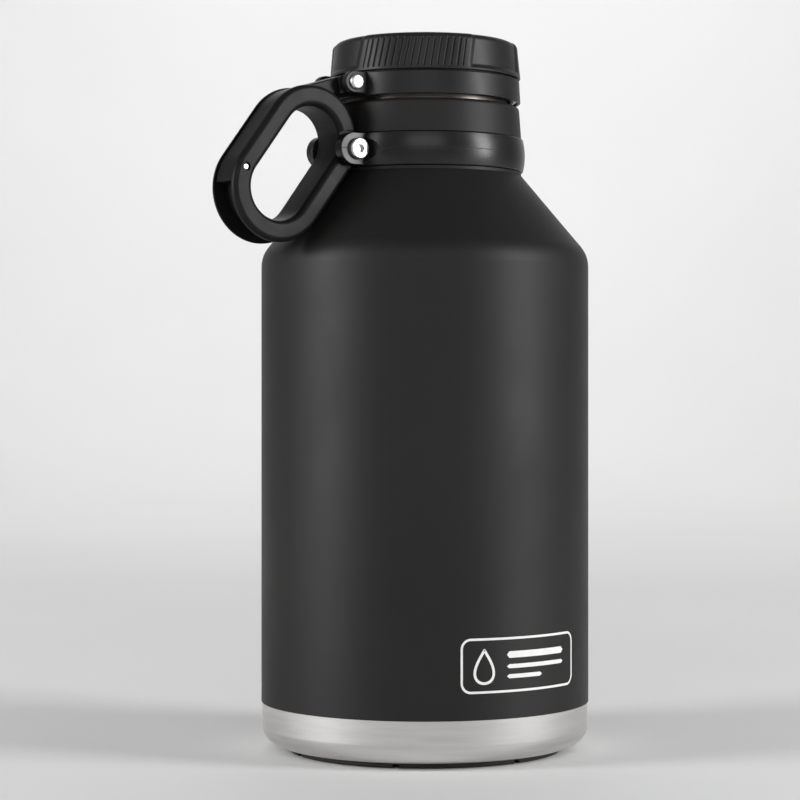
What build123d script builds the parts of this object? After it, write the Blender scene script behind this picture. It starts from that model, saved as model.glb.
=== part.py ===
from build123d import *

import math
import os

# A vacuum-insulated steel growler with a screw cap. The cap turns in a ring that an arm ties to a
# loop handle, and the handle swings on a screw through the ears of the neck collar.
# Millimetres. Origin: centre of the underside. +Z up. The handle points along -X.

# --- driving dimensions: bottle ---
BODY_R = 62.5
WALL = 0.8
PAD_R = 52.5
PAD_PROUD = 2.4
PAD_SEAT = 1.2
PAD_GAP = 0.3
PAD_CHAMFER = 0.6
PAD_NOTCHES = 7
PAD_NOTCH_START = -137.5
PAD_NOTCH_INSET = 4.0
PAD_NOTCH_LENGTH = 10.0
PAD_NOTCH_WIDTH = 2.6
PAD_NOTCH_DEPTH = 1.4
SEAL_HOLE_R = 1.5
SEAL_CAP_R = 4.0
SEAL_CAP_HEIGHT = 1.4
SEAL_CAP_EDGE_R = 0.6
CUP_R = 62.1
CUP_TOP = 18.5
CUP_CORNER_R = 7.0
CUP_LIP = 5.5
BARREL_TOP = 187.97
SHOULDER_R = 12.0
NECK_R = 36.9
NECK_BASE = 218.5
GROOVE_R = 34.8
GROOVE_LOW = 219.6
GROOVE_HIGH = 232.5
SLEEVE_R = 36.0
SLEEVE_TOP = 244.8
SLEEVE_EDGE_R = 1.8

# --- driving dimensions: liner and threaded mouth ---
LINER_R = 56.0
LINER_WALL = 0.6
LINER_FLOOR = 12.0
LINER_FLOOR_R = 14.0
LINER_SHOULDER_R = 16.0
LINER_NECK_R = 5.0
LINER_DROP = 4.0
LINER_CONE_WALL = 0.4
GETTER_X = 22.0
GETTER_R = 6.0
GETTER_HEIGHT = 3.0
GETTER_EDGE_R = 1.0
FINISH_R = 31.6
FINISH_LOW = 238.0
LIP_Z = 261.4
LIP_EDGE_R = 0.4
THREAD_PITCH = 4.0
THREAD_HEIGHT = 0.9
THREAD_WIDTH = 1.5
THREAD_SINK = 0.3
NECK_THREAD_LOW = 248.5
NECK_THREAD_TURNS = 2.0
CAP_THREAD_TURNS = 1.25

# --- driving dimensions: collar and hinge ---
COLLAR_LOW = 219.8
COLLAR_HIGH = 232.3
COLLAR_BORE_R = 35.0
COLLAR_MID_R = 38.3
COLLAR_EDGE_R = 37.5
HINGE_U = 39.0
HINGE_Z = 226.1
EAR_TIP_U = 40.6
EAR_R = 6.05
EAR_IN = 7.6
EAR_OUT = 11.7
POCKET_R = 5.2
SCREW_HEAD_R = 4.05
SCREW_HEAD_RIM = 1.0
SCREW_HEAD_DOME = 0.8
HEX_R = 1.5
HEX_DEPTH = 1.4
EAR_EDGE_R = 0.4
EDGE_R = 0.5
NUT_R = 2.5
NUT_REACH = 9.5
SCREW_R = 1.5
RUNNING_GAP = 0.06

# --- driving dimensions: handle ---
LOOP_U = 63.45
LOOP_Z = 219.8
LOOP_TILT = 52.7
LOOP_HALF = 11.7
LOOP_OUT_R = 19.85
LOOP_WEB_R = 14.45
LOOP_IN_R = 11.9
PLATE_IN = 5.9
PLATE_OUT = 8.3
KNUCKLE_R = 4.7
KNUCKLE_HALF = 7.3
NOTCH_R = 7.1
SWING_DEG = 11.5
SWING_STEPS = 4
NECK_ROOM = 0.4
PLATE_RIM_R = 2.0
PLATE_OPENING_R = 2.2
PIN_U = 85.2
PIN_Z = 217.3
PIN_R = 1.0
PIN_HOLE_R = 1.4
PIN_SINK = 0.7
PIN_SINK_R = 1.75
PIN_RECESS = 0.3
PIN_CHAMFER = 0.15

# --- driving dimensions: lid ring, arm and cap ---
RING_LOW = 246.2
RING_HIGH = 254.9
RING_LOW_R = 36.6
RING_HIGH_R = 36.1
RING_BORE_R = 34.7
RING_RECESS_R = 35.5
RING_STEP = 248.4
RIVET_U = 39.2
RIVET_Z = 250.9
RING_EAR_U = 39.9
RING_EAR_R = 4.0
RING_POCKET_R = 4.8
RING_EAR_IN = 8.0
RING_EAR_OUT = 10.9
RING_EAR_EDGE_R = 0.3
RING_EDGE_R = 0.35
RING_FLAT_DEG = 16.0
RING_FLAT_R = 36.15
RIVET_R = 1.6
RIVET_HEAD_R = 2.95
RIVET_HEAD_RIM = 0.3
RIVET_HEAD_DOME = 1.1
ARM_KNUCKLE_R = 3.2
ARM_KNUCKLE_HALF = 7.7
ARM_KNUCKLE_GAP = 0.35
ARM_KNUCKLE_LENGTH = 10.0
ARM_HALF = 5.6
ARM_OUT_R = 19.25
ARM_IN_R = 14.9
ARM_EYE_R = 2.3
ARM_EYE_GAP = 0.45
ARM_TAIL_DEG = 32.0
ARM_TAIL_ROOM = 1.4
ARM_THIN_DEG = 12.0
ARM_EDGE_R = 0.6
SKIRT_R = 34.35
SKIRT_BORE_R = 32.85
SKIRT_LOW = 246.6
SNAP_LOW = 247.0
SNAP_HIGH = 248.0
SNAP_IN_R = 33.75
SNAP_OUT_R = 35.15
SNAP_GAP = 1.5
CAP_LOW = 255.4
CAP_LOW_R = 36.6
CAP_HIGH_R = 35.2
CAP_TOP = 269.4
CAP_EDGE_R = 2.6
CAP_DOME = 0.3
CAP_FOOT_R = 0.4
CAP_ROOF = 267.2
GRIP_PADS = 3
GRIP_CENTRE = -132.5
GRIP_ARC = 77.0
WINDOW_DEPTH = 0.7
WINDOW_MARGIN = 2.0
PLUG_R = 29.4
PLUG_LOW = 252.4
PLUG_WALL = 1.5
FOAM_R = 33.2
INSERT_TOP = 265.7
GASKET_LOW = 261.7
GASKET_HIGH = 263.5

os.makedirs("parts", exist_ok=True)


def save(piece, name):
    """Label a finished piece and write it as its own STEP file."""
    piece.label = name
    export_step(piece, f"parts/{name}.step")


def loop_point(along):
    """The point (x, z) on the loop's long axis at a distance from its centre."""
    tilt = math.radians(LOOP_TILT)
    return (-LOOP_U + along * math.cos(tilt), LOOP_Z + along * math.sin(tilt))


HINGE = (-HINGE_U, HINGE_Z)
RIVET = (-RIVET_U, RIVET_Z)
PIN = (-PIN_U, PIN_Z)
LOOP_TOP = loop_point(LOOP_HALF)
LOOP_BOTTOM = loop_point(-LOOP_HALF)
HINGE_AXIS = Axis((-HINGE_U, 0, HINGE_Z), (0, 1, 0))
NEAR = Plane.XZ

# ---------------------------------------------------------------- bottle

PAD_TOP = PAD_PROUD + PAD_SEAT

with BuildPart() as outer_shell:
    with BuildSketch(Plane.XZ):
        with BuildLine():
            outside = FilletPolyline(
                (BODY_R, CUP_TOP),
                (BODY_R, BARREL_TOP),
                (NECK_R, NECK_BASE),
                (NECK_R, GROOVE_LOW),
                (GROOVE_R, GROOVE_LOW),
                (GROOVE_R, GROOVE_HIGH),
                (NECK_R, GROOVE_HIGH),
                (SLEEVE_R, SLEEVE_TOP),
                (FINISH_R, SLEEVE_TOP),
                radius=(SHOULDER_R, 0, 0, 0, 0, 0, SLEEVE_EDGE_R),
            )
            inside = FilletPolyline(
                (FINISH_R, SLEEVE_TOP - WALL),
                (SLEEVE_R - WALL, SLEEVE_TOP - WALL),
                (SLEEVE_R - WALL, GROOVE_HIGH + WALL),
                (GROOVE_R - WALL, GROOVE_HIGH),
                (GROOVE_R - WALL, GROOVE_LOW),
                (NECK_R - 1.5 * WALL, NECK_BASE - WALL),
                (BODY_R - WALL, BARREL_TOP - WALL / 2),
                (BODY_R - WALL, CUP_TOP),
                radius=(SLEEVE_EDGE_R - WALL, 0, 0, 0, 0, SHOULDER_R - WALL),
            )
            Line(outside @ 1, inside @ 0)
            Line(inside @ 1, outside @ 0)
        make_face()
    revolve(axis=Axis.Z)
save(outer_shell.part, "outer_shell")

CUP_LIP_R = BODY_R - WALL

with BuildPart() as base_cup:
    with BuildSketch(Plane.XZ):
        with BuildLine():
            outside = FilletPolyline(
                (PAD_R + PAD_GAP, PAD_TOP),
                (PAD_R + PAD_GAP, PAD_PROUD),
                (CUP_R, PAD_PROUD),
                (CUP_R, CUP_TOP),
                (CUP_LIP_R, CUP_TOP),
                (CUP_LIP_R, CUP_TOP + CUP_LIP),
                radius=(0, CUP_CORNER_R, 0, 0),
            )
            inside = FilletPolyline(
                (CUP_LIP_R - WALL, CUP_TOP + CUP_LIP),
                (CUP_LIP_R - WALL, PAD_TOP + WALL),
                (0, PAD_TOP + WALL),
                radius=(CUP_CORNER_R - 2 * WALL,),
            )
            Line(outside @ 1, inside @ 0)
            Polyline(inside @ 1, (0, PAD_TOP), outside @ 0)
        make_face()
    revolve(axis=Axis.Z)
    with BuildSketch(Plane.XY.offset(PAD_TOP)):
        Circle(SEAL_HOLE_R)
    extrude(amount=WALL, mode=Mode.SUBTRACT)
save(base_cup.part, "base_cup")

with BuildPart() as base_pad:
    with BuildSketch():
        Circle(PAD_R)
    extrude(amount=PAD_TOP)
    chamfer(base_pad.edges().group_by(Axis.Z)[0], PAD_CHAMFER)
    with BuildSketch():
        with PolarLocations(PAD_R - PAD_NOTCH_INSET, PAD_NOTCHES, start_angle=PAD_NOTCH_START):
            Rectangle(PAD_NOTCH_LENGTH, PAD_NOTCH_WIDTH)
    extrude(amount=PAD_NOTCH_DEPTH, mode=Mode.SUBTRACT)
save(base_pad.part, "base_pad")

with BuildPart() as vacuum_seal:
    with BuildSketch(Plane.XY.offset(PAD_TOP)):
        Circle(SEAL_HOLE_R)
    extrude(amount=WALL)
    with BuildSketch(Plane.XY.offset(PAD_TOP + WALL)):
        Circle(SEAL_CAP_R)
    extrude(amount=SEAL_CAP_HEIGHT)
    fillet(vacuum_seal.edges().group_by(Axis.Z)[-1], SEAL_CAP_EDGE_R)
save(vacuum_seal.part, "vacuum_seal")

MOUTH_R = FINISH_R - WALL
LINER_CONE_LOW = BARREL_TOP - LINER_DROP
LINER_CONE_HIGH = NECK_BASE - LINER_DROP

with BuildPart() as inner_liner:
    with BuildSketch(Plane.XZ):
        with BuildLine():
            outside = FilletPolyline(
                (0, LINER_FLOOR),
                (LINER_R, LINER_FLOOR),
                (LINER_R, LINER_CONE_LOW),
                (MOUTH_R, LINER_CONE_HIGH),
                (MOUTH_R, LIP_Z),
                radius=(LINER_FLOOR_R, LINER_SHOULDER_R, LINER_NECK_R),
            )
            inside = FilletPolyline(
                (MOUTH_R - LINER_WALL, LIP_Z),
                (MOUTH_R - LINER_WALL, LINER_CONE_HIGH - LINER_CONE_WALL),
                (LINER_R - LINER_WALL, LINER_CONE_LOW - LINER_CONE_WALL),
                (LINER_R - LINER_WALL, LINER_FLOOR + LINER_WALL),
                (0, LINER_FLOOR + LINER_WALL),
                radius=(LINER_NECK_R + LINER_WALL, LINER_SHOULDER_R - LINER_WALL, LINER_FLOOR_R - LINER_WALL),
            )
            Line(outside @ 1, inside @ 0)
            Line(inside @ 1, outside @ 0)
        make_face()
    revolve(axis=Axis.Z)
save(inner_liner.part, "inner_liner")

with BuildPart() as getter:
    with BuildSketch(Plane.XY.offset(LINER_FLOOR)):
        with Locations((GETTER_X, 0)):
            Circle(GETTER_R)
    extrude(amount=-GETTER_HEIGHT)
    fillet(getter.edges().group_by(Axis.Z)[0], GETTER_EDGE_R)
save(getter.part, "getter")


def thread(crest_r, root_r, low, turns):
    """One trapezoid thread ridge between two radii, starting at a height."""
    toward_crest = math.copysign(1, crest_r - root_r)
    sunk_r = root_r - toward_crest * THREAD_SINK
    with BuildPart() as ridge:
        with BuildLine() as path:
            Helix(pitch=THREAD_PITCH, height=THREAD_PITCH * turns, radius=root_r, center=(0, 0, low))
        with BuildSketch(Plane.XZ):
            with BuildLine():
                Polyline(
                    (sunk_r, low - THREAD_WIDTH / 2),
                    (root_r, low - THREAD_WIDTH / 2),
                    (crest_r, low - THREAD_WIDTH / 4),
                    (crest_r, low + THREAD_WIDTH / 4),
                    (root_r, low + THREAD_WIDTH / 2),
                    (sunk_r, low + THREAD_WIDTH / 2),
                    close=True,
                )
            make_face()
        sweep(path=path.line, is_frenet=True)
    return ridge.part


with BuildPart() as neck_finish:
    with BuildSketch(Plane.XZ):
        with BuildLine():
            outside = FilletPolyline(
                (FINISH_R, FINISH_LOW),
                (FINISH_R, LIP_Z),
                (MOUTH_R, LIP_Z),
                radius=(LIP_EDGE_R,),
            )
            Polyline(outside @ 1, (MOUTH_R, FINISH_LOW), outside @ 0)
        make_face()
    revolve(axis=Axis.Z)
    add(thread(FINISH_R + THREAD_HEIGHT, FINISH_R, NECK_THREAD_LOW, NECK_THREAD_TURNS))
save(neck_finish.part, "neck_finish")

# ---------------------------------------------------------------- collar and hinge


def ear_pair(tip, radius, inner, outer, edge_r):
    """Two rounded lugs, one each side of the handle's plane, reaching back into the bottle's axis."""
    with BuildPart() as ears:
        for side in (1, -1):
            with BuildSketch(NEAR.offset(side * outer)):
                with Locations(tip):
                    Circle(radius)
                with Locations((tip[0] + radius, tip[1])):
                    Rectangle(2 * radius, 2 * radius)
            extrude(amount=side * (inner - outer))
        broad_faces = ears.faces().filter_by(Axis.Y)
        fillet(broad_faces.edges(), edge_r)
    return ears.part


with BuildPart() as neck_collar:
    with BuildSketch(Plane.XZ):
        with BuildLine():
            belly = ThreePointArc(
                (COLLAR_EDGE_R, COLLAR_LOW),
                (COLLAR_MID_R, (COLLAR_LOW + COLLAR_HIGH) / 2),
                (COLLAR_EDGE_R, COLLAR_HIGH),
            )
            Polyline(
                belly @ 1,
                (COLLAR_BORE_R, COLLAR_HIGH),
                (COLLAR_BORE_R, COLLAR_LOW),
                belly @ 0,
            )
        make_face()
    revolve(axis=Axis.Z)
    outer_rims = neck_collar.edges().filter_by(GeomType.CIRCLE).group_by(SortBy.RADIUS)[-1]
    fillet(outer_rims, EDGE_R)
    add(ear_pair((-EAR_TIP_U, HINGE_Z), EAR_R, EAR_IN, EAR_OUT, EAR_EDGE_R))
    for side in (1, -1):
        with BuildSketch(NEAR.offset(side * EAR_OUT)):
            with Locations(HINGE):
                Circle(POCKET_R)
        extrude(amount=side * COLLAR_MID_R, mode=Mode.SUBTRACT)
    # the ring is open between the ears, and the ears are bored for the barrel nut
    with BuildSketch(NEAR):
        with Locations((-EAR_TIP_U, HINGE_Z)):
            Rectangle(4 * EAR_R, 4 * EAR_R)
    extrude(amount=EAR_IN, both=True, mode=Mode.SUBTRACT)
    with BuildSketch(Plane.XY.offset(COLLAR_LOW)):
        Circle(COLLAR_BORE_R)
    extrude(amount=COLLAR_HIGH - COLLAR_LOW, mode=Mode.SUBTRACT)
    with BuildSketch(NEAR):
        with Locations(HINGE):
            Circle(NUT_R)
    extrude(amount=EAR_OUT, both=True, mode=Mode.SUBTRACT)
save(neck_collar.part, "neck_collar")


def domed_head(face, radius, rim, dome):
    """A round head on a face: a short straight rim, then a rounded top."""
    with BuildPart() as head:
        with BuildSketch(face):
            Circle(radius)
        extrude(amount=rim + dome)
        fillet(head.edges().sort_by(Axis(face.origin, face.z_dir))[-1], dome)
    return head.part


def side_face(point, side, distance):
    """The plane on the near (1) or far (-1) side of the handle's plane, facing outwards."""
    return Plane(origin=(point[0], -side * distance, point[1]), x_dir=(side, 0, 0), z_dir=(0, -side, 0))


with BuildPart() as hinge_screw:
    near_face = side_face(HINGE, 1, EAR_OUT)
    add(domed_head(near_face, SCREW_HEAD_R, SCREW_HEAD_RIM, SCREW_HEAD_DOME))
    with BuildSketch(near_face):
        Circle(SCREW_R)
    extrude(amount=-(EAR_OUT + PLATE_IN))
    with BuildSketch(near_face.offset(SCREW_HEAD_RIM + SCREW_HEAD_DOME)):
        RegularPolygon(radius=HEX_R, side_count=6, major_radius=False)
    extrude(amount=-HEX_DEPTH, mode=Mode.SUBTRACT)
save(hinge_screw.part, "hinge_screw")

with BuildPart() as hinge_nut:
    far_face = side_face(HINGE, -1, EAR_OUT)
    add(domed_head(far_face, SCREW_HEAD_R, SCREW_HEAD_RIM, SCREW_HEAD_DOME))
    with BuildSketch(far_face):
        Circle(NUT_R)
    extrude(amount=-(EAR_OUT + NUT_REACH))
    with BuildSketch(NEAR.offset(EAR_OUT)):
        with Locations(HINGE):
            Circle(SCREW_R)
    extrude(amount=-(EAR_OUT + PLATE_IN), mode=Mode.SUBTRACT)
save(hinge_nut.part, "hinge_nut")

# ---------------------------------------------------------------- handle


def loop_slot(radius, mode=Mode.ADD):
    """The loop's outline at a radius from its two end centres."""
    with Locations((-LOOP_U, LOOP_Z)):
        SlotCenterToCenter(2 * LOOP_HALF, 2 * radius, rotation=LOOP_TILT, mode=mode)


def neck_room():
    """The bottle's shoulder and neck with clearance all round."""
    with BuildPart() as neck:
        with BuildSketch(Plane.XZ):
            with BuildLine():
                Polyline(
                    (0, BARREL_TOP),
                    (BODY_R + NECK_ROOM, BARREL_TOP),
                    (NECK_R + NECK_ROOM, NECK_BASE + NECK_ROOM),
                    (NECK_R + NECK_ROOM, GROOVE_LOW),
                    (GROOVE_R + NECK_ROOM, GROOVE_LOW + NECK_ROOM),
                    (GROOVE_R + NECK_ROOM, GROOVE_HIGH - NECK_ROOM),
                    (NECK_R + NECK_ROOM, GROOVE_HIGH - NECK_ROOM),
                    (SLEEVE_R + NECK_ROOM, SLEEVE_TOP + NECK_ROOM),
                    (0, SLEEVE_TOP + NECK_ROOM),
                    close=True,
                )
            make_face()
        revolve(axis=Axis.Z)
    return neck.part


def handle_half(side):
    """Half of the loop: a flat plate with half the web and half the hinge knuckle."""
    with BuildPart() as half:
        with BuildSketch(NEAR):
            loop_slot(LOOP_WEB_R)
            loop_slot(LOOP_IN_R, Mode.SUBTRACT)
        extrude(amount=side * PLATE_IN)
        with BuildSketch(NEAR.offset(side * PLATE_IN)):
            loop_slot(LOOP_OUT_R)
            loop_slot(LOOP_IN_R, Mode.SUBTRACT)
        extrude(amount=side * (PLATE_OUT - PLATE_IN))
        face = half.faces().sort_by(Axis.Y)[0 if side > 0 else -1]
        opening = face.inner_wires()[0].edges()
        rim = face.outer_wire().edges()
        fillet(opening, PLATE_OPENING_R)
        fillet(rim, PLATE_RIM_R)
        # the web thins out behind the arm's eye
        with BuildSketch(NEAR):
            with Locations(PIN):
                Circle(ARM_EYE_R + ARM_EYE_GAP)
        extrude(amount=side * PLATE_IN, mode=Mode.SUBTRACT)
        with BuildSketch(NEAR):
            with Locations(HINGE):
                Circle(KNUCKLE_R)
        extrude(amount=side * KNUCKLE_HALF)
        # room for the collar's ears, and for the neck as the handle swings
        with BuildSketch(NEAR.offset(side * KNUCKLE_HALF)):
            with Locations((-EAR_TIP_U, HINGE_Z)):
                Circle(NOTCH_R)
            with Locations((-EAR_TIP_U + NOTCH_R / 2, HINGE_Z)):
                Rectangle(NOTCH_R, 2 * NOTCH_R)
        extrude(amount=side * PLATE_OUT, mode=Mode.SUBTRACT)
        for step in range(SWING_STEPS + 1):
            turn = -SWING_DEG * step / SWING_STEPS
            add(neck_room().rotate(HINGE_AXIS, turn), mode=Mode.SUBTRACT)
        with BuildSketch(NEAR):
            with Locations(HINGE):
                Circle(NUT_R + RUNNING_GAP)
            with Locations(PIN):
                Circle(PIN_R)
        extrude(amount=side * PLATE_OUT, mode=Mode.SUBTRACT)
        with BuildSketch(NEAR.offset(side * (PLATE_OUT - PIN_SINK))):
            with Locations(PIN):
                Circle(PIN_SINK_R)
        extrude(amount=side * PIN_SINK, mode=Mode.SUBTRACT)
    return half.part


save(handle_half(1), "handle_near")
save(handle_half(-1), "handle_far")

with BuildPart() as handle_pin:
    with BuildSketch(NEAR):
        with Locations(PIN):
            Circle(PIN_R)
    extrude(amount=PLATE_OUT - PIN_RECESS, both=True)
    chamfer(handle_pin.edges(), PIN_CHAMFER)
save(handle_pin.part, "handle_pin")

# ---------------------------------------------------------------- lid arm


def tangent(first, first_r, second, second_r):
    """End points of the line that touches two circles above their centres.

    A negative radius makes the line pass below that circle's centre.
    """
    run = second[0] - first[0]
    rise = second[1] - first[1]
    angle = math.atan2(rise, run) - math.acos((first_r - second_r) / math.hypot(run, rise))
    normal = (math.cos(angle), math.sin(angle))
    start = (first[0] + first_r * normal[0], first[1] + first_r * normal[1])
    end = (second[0] + second_r * normal[0], second[1] + second_r * normal[1])
    return (start, end)


def beyond(centre, degrees, distance):
    """The point at a distance and direction from a centre, in the handle's plane."""
    angle = math.radians(degrees)
    return (centre[0] + distance * math.cos(angle), centre[1] + distance * math.sin(angle))


UPPER_LINE = tangent(RIVET, ARM_KNUCKLE_R, LOOP_TOP, ARM_OUT_R)
LOWER_LINE = tangent(RIVET, -ARM_KNUCKLE_R, LOOP_TOP, ARM_IN_R)
LOWER_DEG = math.degrees(math.atan2(LOWER_LINE[1][1] - LOOP_TOP[1], LOWER_LINE[1][0] - LOOP_TOP[0]))
OUTWARD_DEG = LOOP_TILT + 90
TAIL_DEG = OUTWARD_DEG + ARM_TAIL_DEG

with BuildPart() as lid_arm:
    with BuildSketch(NEAR):
        loop_slot(ARM_OUT_R)
        loop_slot(ARM_IN_R, Mode.SUBTRACT)
        # keep the stretch over the loop's top and down its outer side
        with BuildLine():
            Polyline(
                LOOP_TOP,
                beyond(LOOP_TOP, LOWER_DEG, 3 * ARM_OUT_R),
                beyond(LOOP_TOP, OUTWARD_DEG, 4 * ARM_OUT_R),
                beyond(LOOP_BOTTOM, TAIL_DEG, 3 * ARM_OUT_R),
                LOOP_BOTTOM,
                close=True,
            )
        make_face(mode=Mode.INTERSECT)
        # thin the tail round the eye
        with BuildLine():
            Polyline(
                LOOP_BOTTOM,
                beyond(LOOP_BOTTOM, OUTWARD_DEG - ARM_THIN_DEG, ARM_IN_R),
                beyond(LOOP_BOTTOM, OUTWARD_DEG, ARM_IN_R + ARM_TAIL_ROOM),
                beyond(LOOP_BOTTOM, TAIL_DEG + ARM_THIN_DEG, ARM_IN_R + ARM_TAIL_ROOM),
                close=True,
            )
        make_face(mode=Mode.SUBTRACT)
        with Locations(PIN):
            Circle(ARM_EYE_R)
        with BuildLine():
            Polyline(*UPPER_LINE, LOWER_LINE[1], LOWER_LINE[0], RIVET, close=True)
        make_face()
    extrude(amount=ARM_HALF, both=True)
    fillet(lid_arm.faces().filter_by(Axis.Y).edges(), ARM_EDGE_R)
    # the head widens to fill the gap between the ring's ears
    with BuildSketch(NEAR):
        with BuildLine():
            Polyline(*UPPER_LINE, LOWER_LINE[1], LOWER_LINE[0], RIVET, close=True)
        make_face()
        with Locations(RIVET):
            Circle(ARM_KNUCKLE_R)
        with Locations(RIVET):
            Rectangle(ARM_KNUCKLE_LENGTH, 2 * ARM_OUT_R, mode=Mode.INTERSECT)
    extrude(amount=ARM_KNUCKLE_HALF, both=True)
    with BuildSketch(NEAR):
        with Locations(RIVET):
            Circle(RIVET_R + RUNNING_GAP)
        with Locations(PIN):
            Circle(PIN_HOLE_R)
    extrude(amount=ARM_KNUCKLE_HALF, both=True, mode=Mode.SUBTRACT)
save(lid_arm.part, "lid_arm")

# ---------------------------------------------------------------- lid ring


def ring_flats():
    """Two upright blocks that cut a flat on the ring, one on each side of its ears."""
    with BuildPart() as blocks:
        with BuildSketch(Plane.XY.offset(RING_LOW)):
            for side in (1, -1):
                with PolarLocations(RING_FLAT_R + RING_EAR_R, 1, start_angle=180 + side * RING_FLAT_DEG):
                    Rectangle(2 * RING_EAR_R, RING_FLAT_R)
        extrude(amount=RING_HIGH - RING_LOW)
    return blocks.part


with BuildPart() as lid_ring:
    with BuildSketch(Plane.XZ):
        with BuildLine():
            Polyline(
                (RING_RECESS_R, RING_LOW),
                (RING_LOW_R, RING_LOW),
                (RING_HIGH_R, RING_HIGH),
                (RING_BORE_R, RING_HIGH),
                (RING_BORE_R, RING_STEP),
                (RING_RECESS_R, RING_STEP),
                close=True,
            )
        make_face()
    revolve(axis=Axis.Z)
    outer_rims = lid_ring.edges().filter_by(GeomType.CIRCLE).group_by(SortBy.RADIUS)[-2:]
    fillet(outer_rims[0] + outer_rims[1], RING_EDGE_R)
    add(ring_flats(), mode=Mode.SUBTRACT)
    add(ear_pair((-RING_EAR_U, RIVET_Z), RING_EAR_R, RING_EAR_IN, RING_EAR_OUT, RING_EAR_EDGE_R))
    for side in (1, -1):
        with BuildSketch(NEAR.offset(side * RING_EAR_OUT)):
            with Locations(RIVET):
                Circle(RING_POCKET_R)
        extrude(amount=side * RING_LOW_R, mode=Mode.SUBTRACT)
    with BuildSketch(Plane.XY.offset(RING_LOW)):
        Circle(RING_BORE_R)
    extrude(amount=RING_HIGH - RING_LOW, mode=Mode.SUBTRACT)
    with BuildSketch(Plane.XY.offset(RING_LOW)):
        Circle(RING_RECESS_R)
    extrude(amount=RING_STEP - RING_LOW, mode=Mode.SUBTRACT)
    with BuildSketch(NEAR):
        with Locations(RIVET):
            Circle(ARM_KNUCKLE_R + ARM_KNUCKLE_GAP)
    extrude(amount=RING_EAR_IN, both=True, mode=Mode.SUBTRACT)
    with BuildSketch(NEAR):
        with Locations(RIVET):
            Circle(RIVET_R)
    extrude(amount=RING_EAR_OUT, both=True, mode=Mode.SUBTRACT)
save(lid_ring.part, "lid_ring")

with BuildPart() as ring_rivet:
    with BuildSketch(NEAR):
        with Locations(RIVET):
            Circle(RIVET_R)
    extrude(amount=RING_EAR_OUT, both=True)
    for side in (1, -1):
        add(domed_head(side_face(RIVET, side, RING_EAR_OUT), RIVET_HEAD_R, RIVET_HEAD_RIM, RIVET_HEAD_DOME))
save(ring_rivet.part, "ring_rivet")

# ---------------------------------------------------------------- cap

with BuildPart() as cap_shell:
    with BuildSketch(Plane.XZ):
        with BuildLine():
            outside = FilletPolyline(
                (SKIRT_R, CAP_LOW),
                (CAP_LOW_R, CAP_LOW),
                (CAP_HIGH_R, CAP_TOP - CAP_DOME),
                (0, CAP_TOP),
                radius=(CAP_FOOT_R, CAP_EDGE_R),
            )
            Polyline(outside @ 1, (0, CAP_ROOF), (SKIRT_R, CAP_ROOF), outside @ 0)
        make_face()
    revolve(axis=Axis.Z)
    # shallow windows between the grip pads
    for pad in range(GRIP_PADS):
        start = GRIP_CENTRE + GRIP_ARC / 2 + pad * 360 / GRIP_PADS
        with BuildSketch(Plane.XZ.rotated((0, 0, start))):
            with Locations((CAP_LOW_R, (CAP_LOW + CAP_TOP) / 2)):
                Rectangle(2 * WINDOW_DEPTH, CAP_TOP - CAP_LOW - 2 * WINDOW_MARGIN)
        revolve(axis=Axis.Z, revolution_arc=360 / GRIP_PADS - GRIP_ARC, mode=Mode.SUBTRACT)
save(cap_shell.part, "cap_shell")

with BuildPart() as cap_insert:
    with BuildSketch(Plane.XZ):
        with BuildLine():
            Polyline(
                (SKIRT_BORE_R, SKIRT_LOW),
                (SNAP_IN_R, SKIRT_LOW),
                (SNAP_IN_R, SNAP_HIGH),
                (SKIRT_R, SNAP_HIGH),
                (SKIRT_R, INSERT_TOP),
                (PLUG_R - PLUG_WALL, INSERT_TOP),
                (PLUG_R - PLUG_WALL, PLUG_LOW + PLUG_WALL),
                (0, PLUG_LOW + PLUG_WALL),
                (0, PLUG_LOW),
                (PLUG_R, PLUG_LOW),
                (PLUG_R, GASKET_HIGH),
                (SKIRT_BORE_R, GASKET_HIGH),
                close=True,
            )
        make_face()
    revolve(axis=Axis.Z)
    add(thread(SKIRT_BORE_R - THREAD_HEIGHT, SKIRT_BORE_R,
               NECK_THREAD_LOW + THREAD_PITCH / 2, CAP_THREAD_TURNS))
save(cap_insert.part, "cap_insert")

with BuildPart() as cap_foam:
    with BuildSketch(Plane.XY.offset(PLUG_LOW + PLUG_WALL)):
        Circle(PLUG_R - PLUG_WALL)
    extrude(amount=INSERT_TOP - PLUG_LOW - PLUG_WALL)
    with BuildSketch(Plane.XY.offset(INSERT_TOP)):
        Circle(FOAM_R)
    extrude(amount=CAP_ROOF - INSERT_TOP)
save(cap_foam.part, "cap_foam")

with BuildPart() as cap_gasket:
    with BuildSketch(Plane.XY.offset(GASKET_LOW)):
        Circle(SKIRT_BORE_R)
        Circle(PLUG_R, mode=Mode.SUBTRACT)
    extrude(amount=GASKET_HIGH - GASKET_LOW)
save(cap_gasket.part, "cap_gasket")

with BuildPart() as snap_ring:
    with BuildSketch(Plane.XY.offset(SNAP_LOW)):
        Circle(SNAP_OUT_R)
        Circle(SNAP_IN_R, mode=Mode.SUBTRACT)
        with Locations(((SNAP_OUT_R + SNAP_IN_R) / 2, 0)):
            Rectangle(3 * (SNAP_OUT_R - SNAP_IN_R), SNAP_GAP, mode=Mode.SUBTRACT)
    extrude(amount=SNAP_HIGH - SNAP_LOW)
save(snap_ring.part, "snap_ring")
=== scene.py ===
import math

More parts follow.
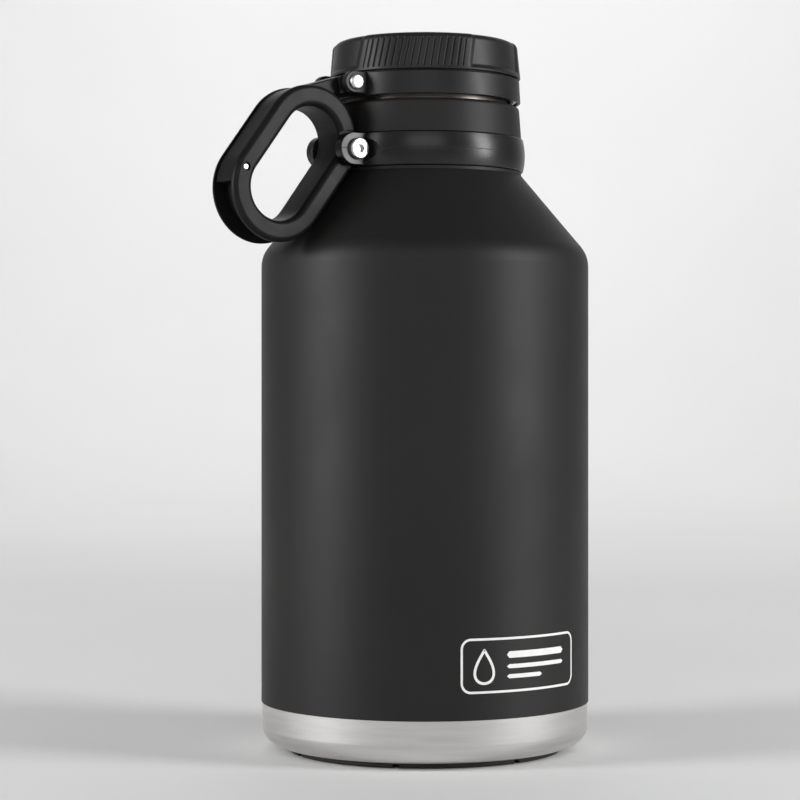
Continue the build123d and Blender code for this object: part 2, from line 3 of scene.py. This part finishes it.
import bmesh
import bpy
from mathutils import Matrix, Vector

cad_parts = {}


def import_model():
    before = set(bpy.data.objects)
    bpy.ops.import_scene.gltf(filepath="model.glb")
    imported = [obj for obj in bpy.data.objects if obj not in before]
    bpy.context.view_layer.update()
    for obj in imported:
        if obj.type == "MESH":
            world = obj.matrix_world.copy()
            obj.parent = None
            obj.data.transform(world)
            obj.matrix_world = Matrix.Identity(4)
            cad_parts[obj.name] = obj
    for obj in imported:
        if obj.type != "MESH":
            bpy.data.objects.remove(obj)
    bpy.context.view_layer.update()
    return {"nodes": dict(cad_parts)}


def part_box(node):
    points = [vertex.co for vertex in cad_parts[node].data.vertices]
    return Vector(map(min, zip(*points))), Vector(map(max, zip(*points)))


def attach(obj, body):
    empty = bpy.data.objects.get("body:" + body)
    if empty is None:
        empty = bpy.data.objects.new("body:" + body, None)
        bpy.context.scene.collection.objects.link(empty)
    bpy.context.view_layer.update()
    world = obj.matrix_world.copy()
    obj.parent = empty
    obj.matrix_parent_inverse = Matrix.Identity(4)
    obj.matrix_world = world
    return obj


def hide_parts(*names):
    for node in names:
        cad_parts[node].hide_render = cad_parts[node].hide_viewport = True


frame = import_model()
MM = 0.001

# ---------------------------------------------------------------- small helpers


def link(name, mesh):
    """A new object for a mesh, in the scene."""
    piece = bpy.data.objects.new(name, mesh)
    bpy.context.scene.collection.objects.link(piece)
    return piece


def mesh_from(name, points, faces):
    """A smooth-shaded object from points in millimetres and faces."""
    mesh = bpy.data.meshes.new(name)
    mesh.from_pydata([Vector(p) * MM for p in points], [], faces)
    mesh.validate()
    mesh.polygons.foreach_set("use_smooth", [True] * len(mesh.polygons))
    return link(name, mesh)


def polar(radius, degrees, z):
    """A point from its radius, polar angle and height, in millimetres."""
    angle = math.radians(degrees)
    return (radius * math.cos(angle), radius * math.sin(angle), z)


# ---------------------------------------------------------------- node helpers


def new_material(name):
    """An empty node material and its shader."""
    material = bpy.data.materials.new(name)
    material.use_nodes = True
    return material, material.node_tree.nodes["Principled BSDF"]


def node(material, kind, inputs=None, **settings):
    """A node with settings and input values."""
    made = material.node_tree.nodes.new(kind)
    for key, value in settings.items():
        setattr(made, key, value)
    for key, value in (inputs or {}).items():
        made.inputs[key].default_value = value
    return made


def wire(material, source, target):
    """Link an output socket to an input socket."""
    material.node_tree.links.new(source, target)


def place(material, scale=(1, 1, 1)):
    """Object coordinates in metres, stretched by a scale."""
    coords = node(material, "ShaderNodeTexCoord")
    mapping = node(material, "ShaderNodeMapping", {"Scale": scale})
    wire(material, coords.outputs["Object"], mapping.inputs["Vector"])
    return mapping.outputs["Vector"]


def noise(material, where, size_mm, detail=2.0, roughness=0.5):
    """Noise whose features are about size_mm across."""
    made = node(material, "ShaderNodeTexNoise",
                {"Scale": 1000.0 / size_mm, "Detail": detail, "Roughness": roughness})
    wire(material, where, made.inputs["Vector"])
    return made.outputs["Fac"]


def spread(material, value, low, high, socket):
    """Map a 0.3..0.7 texture value to a range and feed it to a socket."""
    made = node(material, "ShaderNodeMapRange",
                {"From Min": 0.3, "From Max": 0.7, "To Min": low, "To Max": high})
    wire(material, value, made.inputs["Value"])
    wire(material, made.outputs["Result"], socket)


def tint(material, value, dark, light, socket):
    """Map a texture value to a colour between two."""
    made = node(material, "ShaderNodeValToRGB")
    made.color_ramp.elements[0].position = 0.3
    made.color_ramp.elements[0].color = (*dark, 1)
    made.color_ramp.elements[1].position = 0.7
    made.color_ramp.elements[1].color = (*light, 1)
    wire(material, value, made.inputs["Fac"])
    wire(material, made.outputs["Color"], socket)


def bump(material, shader, height, distance_mm, strength=1.0):
    """Surface relief from a height value."""
    made = node(material, "ShaderNodeBump", {"Strength": strength, "Distance": distance_mm * MM})
    wire(material, height, made.inputs["Height"])
    wire(material, made.outputs["Normal"], shader.inputs["Normal"])


def dress(piece, material):
    """Give a piece one material."""
    piece.data.materials.clear()
    piece.data.materials.append(material)


# ---------------------------------------------------------------- materials


def powder_coat():
    """Matte black powder coat: a fine orange-peel grain with a soft broad sheen."""
    material, shader = new_material("powder_coat")
    where = place(material)
    tint(material, noise(material, where, 60, 3), (0.0095, 0.0089, 0.0088), (0.0120, 0.0112, 0.0109),
         shader.inputs["Base Color"])
    spread(material, noise(material, where, 25, 3), 0.48, 0.54, shader.inputs["Roughness"])
    bump(material, shader, noise(material, where, 0.55, 3, 0.6), 0.02, 0.35)
    shader.inputs["Specular IOR Level"].default_value = 0.28
    return material


def brushed_steel():
    """Steel brushed round the base."""
    material, shader = new_material("brushed_steel")
    fine = noise(material, place(material, (0.04, 0.04, 1)), 0.25, 4, 0.7)
    wide = noise(material, place(material, (0.08, 0.08, 1)), 2.0, 3)
    tint(material, wide, (0.60, 0.59, 0.58), (0.68, 0.67, 0.655), shader.inputs["Base Color"])
    spread(material, fine, 0.30, 0.46, shader.inputs["Roughness"])
    bump(material, shader, fine, 0.008, 0.5)
    shader.inputs["Metallic"].default_value = 1.0
    shader.inputs["Anisotropic"].default_value = 0.6
    return material


def polished_steel():
    """Polished steel of the mouth with circular tool marks, its colour darkened and browned as
    painted shade for the deep slot under the ring.
    """
    material, shader = new_material("polished_steel")
    marks = noise(material, place(material, (0.05, 0.05, 1)), 0.3, 2)
    spread(material, marks, 0.30, 0.42, shader.inputs["Roughness"])
    # Painted shade: the base colour is far darker and browner than steel, standing in for the shade
    # deep in the slot under the ring.
    tint(material, noise(material, place(material), 6, 2), (0.17, 0.155, 0.14), (0.22, 0.20, 0.185),
         shader.inputs["Base Color"])
    bump(material, shader, marks, 0.002, 0.3)
    shader.inputs["Metallic"].default_value = 1.0
    return material


def turned_steel():
    """Satin fastener steel, turned on the screw's own axis."""
    material, shader = new_material("turned_steel")
    where = place(material)
    spread(material, noise(material, where, 0.8, 2), 0.34, 0.42, shader.inputs["Roughness"])
    tint(material, noise(material, where, 2.5, 2), (0.66, 0.65, 0.64), (0.72, 0.71, 0.70),
         shader.inputs["Base Color"])
    shader.inputs["Metallic"].default_value = 1.0
    return material


def satin_steel():
    """Electropolished liner steel."""
    material, shader = new_material("satin_steel")
    where = place(material)
    spread(material, noise(material, where, 1.5, 4), 0.26, 0.40, shader.inputs["Roughness"])
    tint(material, noise(material, where, 30, 2), (0.58, 0.57, 0.56), (0.64, 0.63, 0.62),
         shader.inputs["Base Color"])
    shader.inputs["Metallic"].default_value = 1.0
    return material


def moulded(name, dark, light, roughness, specular, grain_mm, relief_mm, strength):
    """Moulded plastic: slight colour drift, uneven gloss and a spark-eroded grain."""
    material, shader = new_material(name)
    where = place(material)
    tint(material, noise(material, where, 14, 3), dark, light, shader.inputs["Base Color"])
    spread(material, noise(material, where, 7, 4), roughness - 0.035, roughness + 0.035,
           shader.inputs["Roughness"])
    bump(material, shader, noise(material, where, grain_mm, 3, 0.6), relief_mm, strength)
    shader.inputs["Specular IOR Level"].default_value = specular
    return material


def parted(material, low, high):
    """Add a faint moulding line at mid height to a moulded material's relief."""
    grain = [n for n in material.node_tree.nodes if n.bl_idname == "ShaderNodeBump"][0]
    coords = node(material, "ShaderNodeTexCoord")
    split = node(material, "ShaderNodeSeparateXYZ")
    wire(material, coords.outputs["Object"], split.inputs["Vector"])
    off = node(material, "ShaderNodeMath", {1: (low + high) / 2}, operation="SUBTRACT")
    wire(material, split.outputs["Z"], off.inputs[0])
    away = node(material, "ShaderNodeMath", operation="ABSOLUTE")
    wire(material, off.outputs["Value"], away.inputs[0])
    line = node(material, "ShaderNodeMapRange", {"From Min": 0.0, "From Max": 0.2 * MM})
    wire(material, away.outputs["Value"], line.inputs["Value"])
    groove = node(material, "ShaderNodeBump", {"Strength": 0.7, "Distance": 0.06 * MM})
    wire(material, line.outputs["Result"], groove.inputs["Height"])
    wire(material, groove.outputs["Normal"], grain.inputs["Normal"])


def closed_foam():
    """White closed-cell foam with a beaded cell pattern."""
    material, shader = new_material("closed_foam")
    where = place(material)
    cells = node(material, "ShaderNodeTexVoronoi", {"Scale": 450.0})
    wire(material, where, cells.inputs["Vector"])
    tint(material, noise(material, where, 12, 2), (0.80, 0.79, 0.75), (0.88, 0.87, 0.84),
         shader.inputs["Base Color"])
    bump(material, shader, cells.outputs["Distance"], 0.4, 0.6)
    shader.inputs["Roughness"].default_value = 0.85
    return material


def printed_ink():
    """White screen-printed ink with a slightly uneven film."""
    material, shader = new_material("printed_ink")
    where = place(material)
    tint(material, noise(material, where, 3, 3), (0.80, 0.80, 0.79), (0.87, 0.87, 0.86),
         shader.inputs["Base Color"])
    spread(material, noise(material, where, 1.2, 3), 0.42, 0.55, shader.inputs["Roughness"])
    bump(material, shader, noise(material, where, 0.3, 2), 0.01, 0.4)
    return material


PAINT = powder_coat()
STEEL = brushed_steel()
SLOT_SHADED_STEEL = polished_steel()
TURNED = turned_steel()
LINER = satin_steel()
COLLAR = moulded("collar_plastic", (0.008, 0.008, 0.0085), (0.011, 0.011, 0.0115), 0.30, 0.35,
                 1.2, 0.012, 0.3)
HANDLE = moulded("handle_plastic", (0.007, 0.007, 0.0075), (0.010, 0.010, 0.0105), 0.40, 0.13,
                 0.9, 0.012, 0.35)
parted(COLLAR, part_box("neck_collar")[0].z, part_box("neck_collar")[1].z)
RING = moulded("ring_plastic", (0.009, 0.0087, 0.009), (0.012, 0.0117, 0.012), 0.42, 0.28,
               0.5, 0.015, 0.4)
CAP = moulded("cap_plastic", (0.011, 0.0108, 0.0114), (0.014, 0.0137, 0.0144), 0.42, 0.28,
              0.45, 0.02, 0.45)
INSERT = moulded("insert_plastic", (0.040, 0.040, 0.041), (0.052, 0.052, 0.053), 0.45, 0.35,
                 0.8, 0.02, 0.4)
RUBBER = moulded("pad_rubber", (0.014, 0.014, 0.014), (0.020, 0.020, 0.020), 0.62, 0.35,
                 0.8, 0.04, 0.5)
SILICONE = moulded("seal_silicone", (0.52, 0.52, 0.51), (0.58, 0.58, 0.57), 0.50, 0.35,
                   1.0, 0.02, 0.3)
FOAM = closed_foam()
GETTER = moulded("getter_metal", (0.50, 0.50, 0.50), (0.60, 0.60, 0.60), 0.50, 0.35,
                 0.4, 0.03, 0.5)
INK = printed_ink()

NODE_MATERIALS = {
    "outer_shell": PAINT, "base_cup": STEEL, "base_pad": RUBBER, "vacuum_seal": LINER,
    "inner_liner": LINER, "getter": GETTER, "neck_finish": SLOT_SHADED_STEEL, "neck_collar": COLLAR,
    "hinge_screw": TURNED, "hinge_nut": TURNED, "handle_near": HANDLE, "handle_far": HANDLE,
    "handle_pin": TURNED, "lid_arm": HANDLE, "lid_ring": RING, "ring_rivet": TURNED,
    "cap_shell": CAP, "cap_insert": INSERT, "cap_foam": FOAM, "cap_gasket": SILICONE,
    "snap_ring": TURNED,
}


def dress_cad_nodes():
    """Give every node carried over from the CAD its own finish."""
    for name, material in NODE_MATERIALS.items():
        dress(frame["nodes"][name], material)


# ---------------------------------------------------------------- cap

CAP_LOW, CAP_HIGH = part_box("cap_shell")
CAP_FOOT = CAP_LOW.z / MM
CAP_HEAD = CAP_HIGH.z / MM
CAP_FOOT_R = CAP_HIGH.x / MM
CAP_TAPER = 1.4
CAP_HEAD_R = CAP_FOOT_R - CAP_TAPER
CAP_EDGE_R = 2.6
CAP_FOOT_WALL = 1.85
PADS = 3
PAD_CENTRE = -132.5
PAD_HALF = 34.0
PAD_RAMP = 4.5
RIB_PITCH = 3.9
RIBS = 16
RIB_SLANT = 4.0
RIB_DEPTH = 0.45
WINDOW = 0.7
CAP_COLUMNS = 1440
SIDE_ROWS = 40
EDGE_ROWS = 12
DOME_ROWS = 8


def smoothstep(low, high, value):
    """0 below low, 1 above high, smooth between."""
    t = min(max((value - low) / (high - low), 0.0), 1.0)
    return t * t * (3 - 2 * t)


def grip_depth(degrees, z):
    """How far the cap's side is cut in at an angle and height: ribs on the pads, windows between."""
    high = (z - CAP_FOOT) / (CAP_HEAD - CAP_FOOT)
    slanted = degrees - RIB_SLANT * (high - 0.5)
    spacing = 360 / PADS
    off = (slanted - PAD_CENTRE + spacing / 2) % spacing - spacing / 2
    in_pad = 1 - smoothstep(PAD_HALF, PAD_HALF + PAD_RAMP, abs(off))
    band = smoothstep(0.07, 0.13, high) * (1 - smoothstep(0.80, 0.88, high))
    window = WINDOW * (1 - in_pad) * smoothstep(0.04, 0.17, high)
    rib = 0.0
    if abs(off) < RIBS / 2 * RIB_PITCH:
        phase = (off / RIB_PITCH) % 1.0
        near = min(phase, 1 - phase) * RIB_PITCH
        rib = RIB_DEPTH * (1 - smoothstep(0.25, 0.75, near)) * band
    return window + rib * in_pad


def cap_top():
    """The screw cap: a rounded lid with three ribbed grip pads and smooth windows between them."""
    side_low = CAP_FOOT + 0.35
    side_high = CAP_HEAD - 2.9
    side = [side_low + (side_high - side_low) * k / SIDE_ROWS for k in range(SIDE_ROWS + 1)]
    rows = [(CAP_FOOT_R - CAP_FOOT_WALL, CAP_FOOT), (CAP_FOOT_R - 0.4, CAP_FOOT),
            (CAP_FOOT_R - 0.12, CAP_FOOT + 0.1)]
    slope = (CAP_HEAD_R - CAP_FOOT_R) / (CAP_HEAD - CAP_FOOT)
    for z in side:
        rows.append((CAP_FOOT_R + slope * (z - CAP_FOOT), z))
    edge_z = side[-1]
    edge_r = rows[-1][0]
    for k in range(1, EDGE_ROWS + 1):
        angle = (math.pi / 2 - 0.04) * k / EDGE_ROWS
        rows.append((edge_r - CAP_EDGE_R + CAP_EDGE_R * math.cos(angle),
                     edge_z + CAP_EDGE_R * math.sin(angle)))
    last_r, last_z = rows[-1]
    for k in range(1, DOME_ROWS + 1):
        share = k / DOME_ROWS
        rows.append((last_r * (1 - share) + 0.4 * share,
                     last_z + (CAP_HEAD - last_z) * (1 - (1 - share) ** 2)))
    points, faces = [], []
    count = len(rows)
    for c in range(CAP_COLUMNS):
        degrees = 360 * c / CAP_COLUMNS
        for r, z in rows:
            inward = smoothstep(0.0, last_r, r)
            points.append(polar(r - grip_depth(degrees, z) * inward, degrees, z))
    for c in range(CAP_COLUMNS):
        a, b = c * count, (c + 1) % CAP_COLUMNS * count
        for k in range(count - 1):
            faces.append((a + k, b + k, b + k + 1, a + k + 1))
    faces.append([c * count + count - 1 for c in range(CAP_COLUMNS)])
    piece = mesh_from("cap_top", points, faces)
    dress(piece, CAP)
    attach(piece, "cap")
    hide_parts("cap_shell")


# ---------------------------------------------------------------- generic badge

BADGE_ANGLE = -90.0
BADGE_Z = 38.0
BADGE_W = 52.0
BADGE_H = 19.0
PRINT_LIFT = 0.05
SHELL_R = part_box("outer_shell")[1].x / MM


def printed(bm, points):
    """Mesh points for flat (x, y) points of the badge, wrapped onto the bottle's side."""
    made = []
    for x, y in points:
        degrees = BADGE_ANGLE + math.degrees(x / SHELL_R)
        made.append(bm.verts.new(Vector(polar(SHELL_R + PRINT_LIFT, degrees, BADGE_Z + y)) * MM))
    return made


def outline(width, height, radius, steps=10):
    """A rounded rectangle's points, anticlockwise."""
    points = []
    for cx, cy, start in [(1, 1, 0), (-1, 1, 90), (-1, -1, 180), (1, -1, 270)]:
        for step in range(steps + 1):
            angle = math.radians(start + 90 * step / steps)
            points.append((cx * (width / 2 - radius) + radius * math.cos(angle),
                           cy * (height / 2 - radius) + radius * math.sin(angle)))
    return points


def fine(points, longest=1.2):
    """Split a closed outline's long runs, so that it can follow the round side."""
    split = []
    for i, start in enumerate(points):
        end = points[(i + 1) % len(points)]
        pieces = max(1, math.ceil(math.dist(start, end) / longest))
        for k in range(pieces):
            share = k / pieces
            split.append((start[0] + (end[0] - start[0]) * share,
                          start[1] + (end[1] - start[1]) * share))
    return split


def line_print(bm, points, width):
    """A printed line of even width along a closed outline."""
    ring = fine(points)
    count = len(ring)
    inner, outer = [], []
    for i, (x, y) in enumerate(ring):
        ahead, back = ring[(i + 1) % count], ring[i - 1]
        run = Vector((ahead[0] - back[0], ahead[1] - back[1])).normalized()
        for side, row in ((1, outer), (-1, inner)):
            row.append((x + run.y * width / 2 * side, y - run.x * width / 2 * side))
    rows = [printed(bm, row) for row in (inner, outer)]
    for i in range(count):
        j = (i + 1) % count
        bm.faces.new((rows[0][i], rows[1][i], rows[1][j], rows[0][j]))


def bar_print(bm, x, y, length, height):
    """A printed bar with round ends."""
    steps = max(8, int(length))
    lower, upper = [], []
    for k in range(steps + 1):
        along = -1 + 2 * k / steps
        end = max(0.0, abs(along) * length / 2 - (length - height) / 2)
        half = math.sqrt(max((height / 2) ** 2 - end ** 2, 0.0004))
        lower.append((x + along * length / 2, y - half))
        upper.append((x + along * length / 2, y + half))
    rows = [printed(bm, row) for row in (lower, upper)]
    for k in range(steps):
        bm.faces.new((rows[0][k], rows[0][k + 1], rows[1][k + 1], rows[1][k]))


def drop_outline(x, y, size, steps=40):
    """A water drop's outline."""
    points = []
    for k in range(steps):
        t = 2 * math.pi * k / steps
        points.append((x + size * 0.42 * math.sin(t) * math.sin(t / 2) ** 1.3,
                       y + size * 0.5 * math.cos(t) - size * 0.03))
    return points[::-1]


def badge():
    """A plain printed badge: a rounded frame, a drop and three bars."""
    bm = bmesh.new()
    line_print(bm, outline(BADGE_W, BADGE_H, 3.4), 0.85)
    line_print(bm, drop_outline(-17.5, 0, 12.0), 1.0)
    bar_print(bm, 5.5, 3.6, 28.0, 2.4)
    bar_print(bm, 5.5, -0.6, 28.0, 1.5)
    bar_print(bm, -0.5, -4.2, 16.0, 1.5)
    mesh = bpy.data.meshes.new("badge_print")
    bm.to_mesh(mesh)
    bm.free()
    piece = link("badge_print", mesh)
    mesh.polygons.foreach_set("use_smooth", [True] * len(mesh.polygons))
    dress(piece, INK)
    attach(piece, "bottle")


# ---------------------------------------------------------------- stage, light and camera

CAMERA_AZIMUTH = -36.0
CAMERA_DISTANCE = 0.909
CAMERA_HEIGHT = 0.1387
FLOOR_HALF = 4000
SWEEP_START = 1800
SWEEP_R = 700
SWEEP_STEPS = 16
BACKDROP_TOP = 3000


def floor():
    """A plain pale floor that sweeps up into a backdrop behind the bottle."""
    profile = [(-FLOOR_HALF, 0)]
    for step in range(SWEEP_STEPS + 1):
        angle = math.pi / 2 * step / SWEEP_STEPS
        profile.append((SWEEP_START + SWEEP_R * math.sin(angle), SWEEP_R - SWEEP_R * math.cos(angle)))
    profile.append((SWEEP_START + SWEEP_R, BACKDROP_TOP))
    turn = math.radians(CAMERA_AZIMUTH)
    points, faces = [], []
    for across in (-FLOOR_HALF, FLOOR_HALF):
        for back, up in profile:
            points.append((across * math.cos(turn) - back * math.sin(turn),
                           across * math.sin(turn) + back * math.cos(turn), up))
    rows = len(profile)
    for k in range(rows - 1):
        faces.append((k, rows + k, rows + k + 1, k + 1))
    piece = mesh_from("floor", points, faces)
    material, shader = new_material("pale_floor")
    where = place(material)
    tint(material, noise(material, where, 400, 2), (0.86, 0.86, 0.86), (0.89, 0.89, 0.89),
         shader.inputs["Base Color"])
    shader.inputs["Roughness"].default_value = 0.7
    dress(piece, material)


def world():
    """An even white surround."""
    made = bpy.data.worlds.new("studio")
    made.use_nodes = True
    made.node_tree.nodes["Background"].inputs["Color"].default_value = (1, 1, 1, 1)
    made.node_tree.nodes["Background"].inputs["Strength"].default_value = 0.14
    bpy.context.scene.world = made


def around(azimuth, distance, height):
    """A point at an azimuth seen from above, measured like the camera's."""
    angle = math.radians(azimuth)
    return Vector((distance * math.sin(angle), -distance * math.cos(angle), height))


def softbox(name, azimuth, distance, height, width, tall, power):
    """A soft rectangular light at an azimuth, a distance and a height."""
    light = bpy.data.lights.new(name, "AREA")
    light.shape = "RECTANGLE"
    light.size = width
    light.size_y = tall
    light.energy = power
    lamp = bpy.data.objects.new(name, light)
    bpy.context.scene.collection.objects.link(lamp)
    lamp.location = around(azimuth, distance, height)
    return lamp


def face(lamp, height):
    """Turn a light to a height on the bottle's axis."""
    toward = Vector((0, 0, height)) - lamp.location
    lamp.rotation_euler = toward.to_track_quat("-Z", "Y").to_euler()


def lights():
    """Two tall softboxes at the sides, a dim fill in front and a light on the backdrop."""
    face(softbox("softbox_left", CAMERA_AZIMUTH - 70, 1.5, 0.50, 0.5, 0.9, 17), 0.16)
    face(softbox("softbox_right", CAMERA_AZIMUTH + 70, 1.5, 0.54, 0.5, 0.9, 19), 0.16)
    face(softbox("front_fill", CAMERA_AZIMUTH, 2.4, 1.0, 1.8, 1.0, 10), 0.14)
    backdrop = softbox("backdrop_light", CAMERA_AZIMUTH + 180, 1.2, 2.0, 1.3, 0.6, 24)
    backdrop.rotation_euler = (math.radians(55), 0, math.radians(CAMERA_AZIMUTH))


def camera():
    """A level camera, framed by shifting its lens."""
    data = bpy.data.cameras.new("camera")
    data.lens = 106.74
    data.sensor_width = 36.0
    data.shift_x = -0.0311
    data.shift_y = -0.01875
    data.clip_start = 0.05
    piece = bpy.data.objects.new("camera", data)
    bpy.context.scene.collection.objects.link(piece)
    piece.location = around(CAMERA_AZIMUTH, CAMERA_DISTANCE, CAMERA_HEIGHT)
    piece.rotation_euler = (math.radians(90), 0, math.radians(CAMERA_AZIMUTH))
    bpy.context.scene.camera = piece


dress_cad_nodes()
cap_top()
badge()
floor()
world()
lights()
camera()

bpy.context.scene.view_settings.view_transform = "Standard"
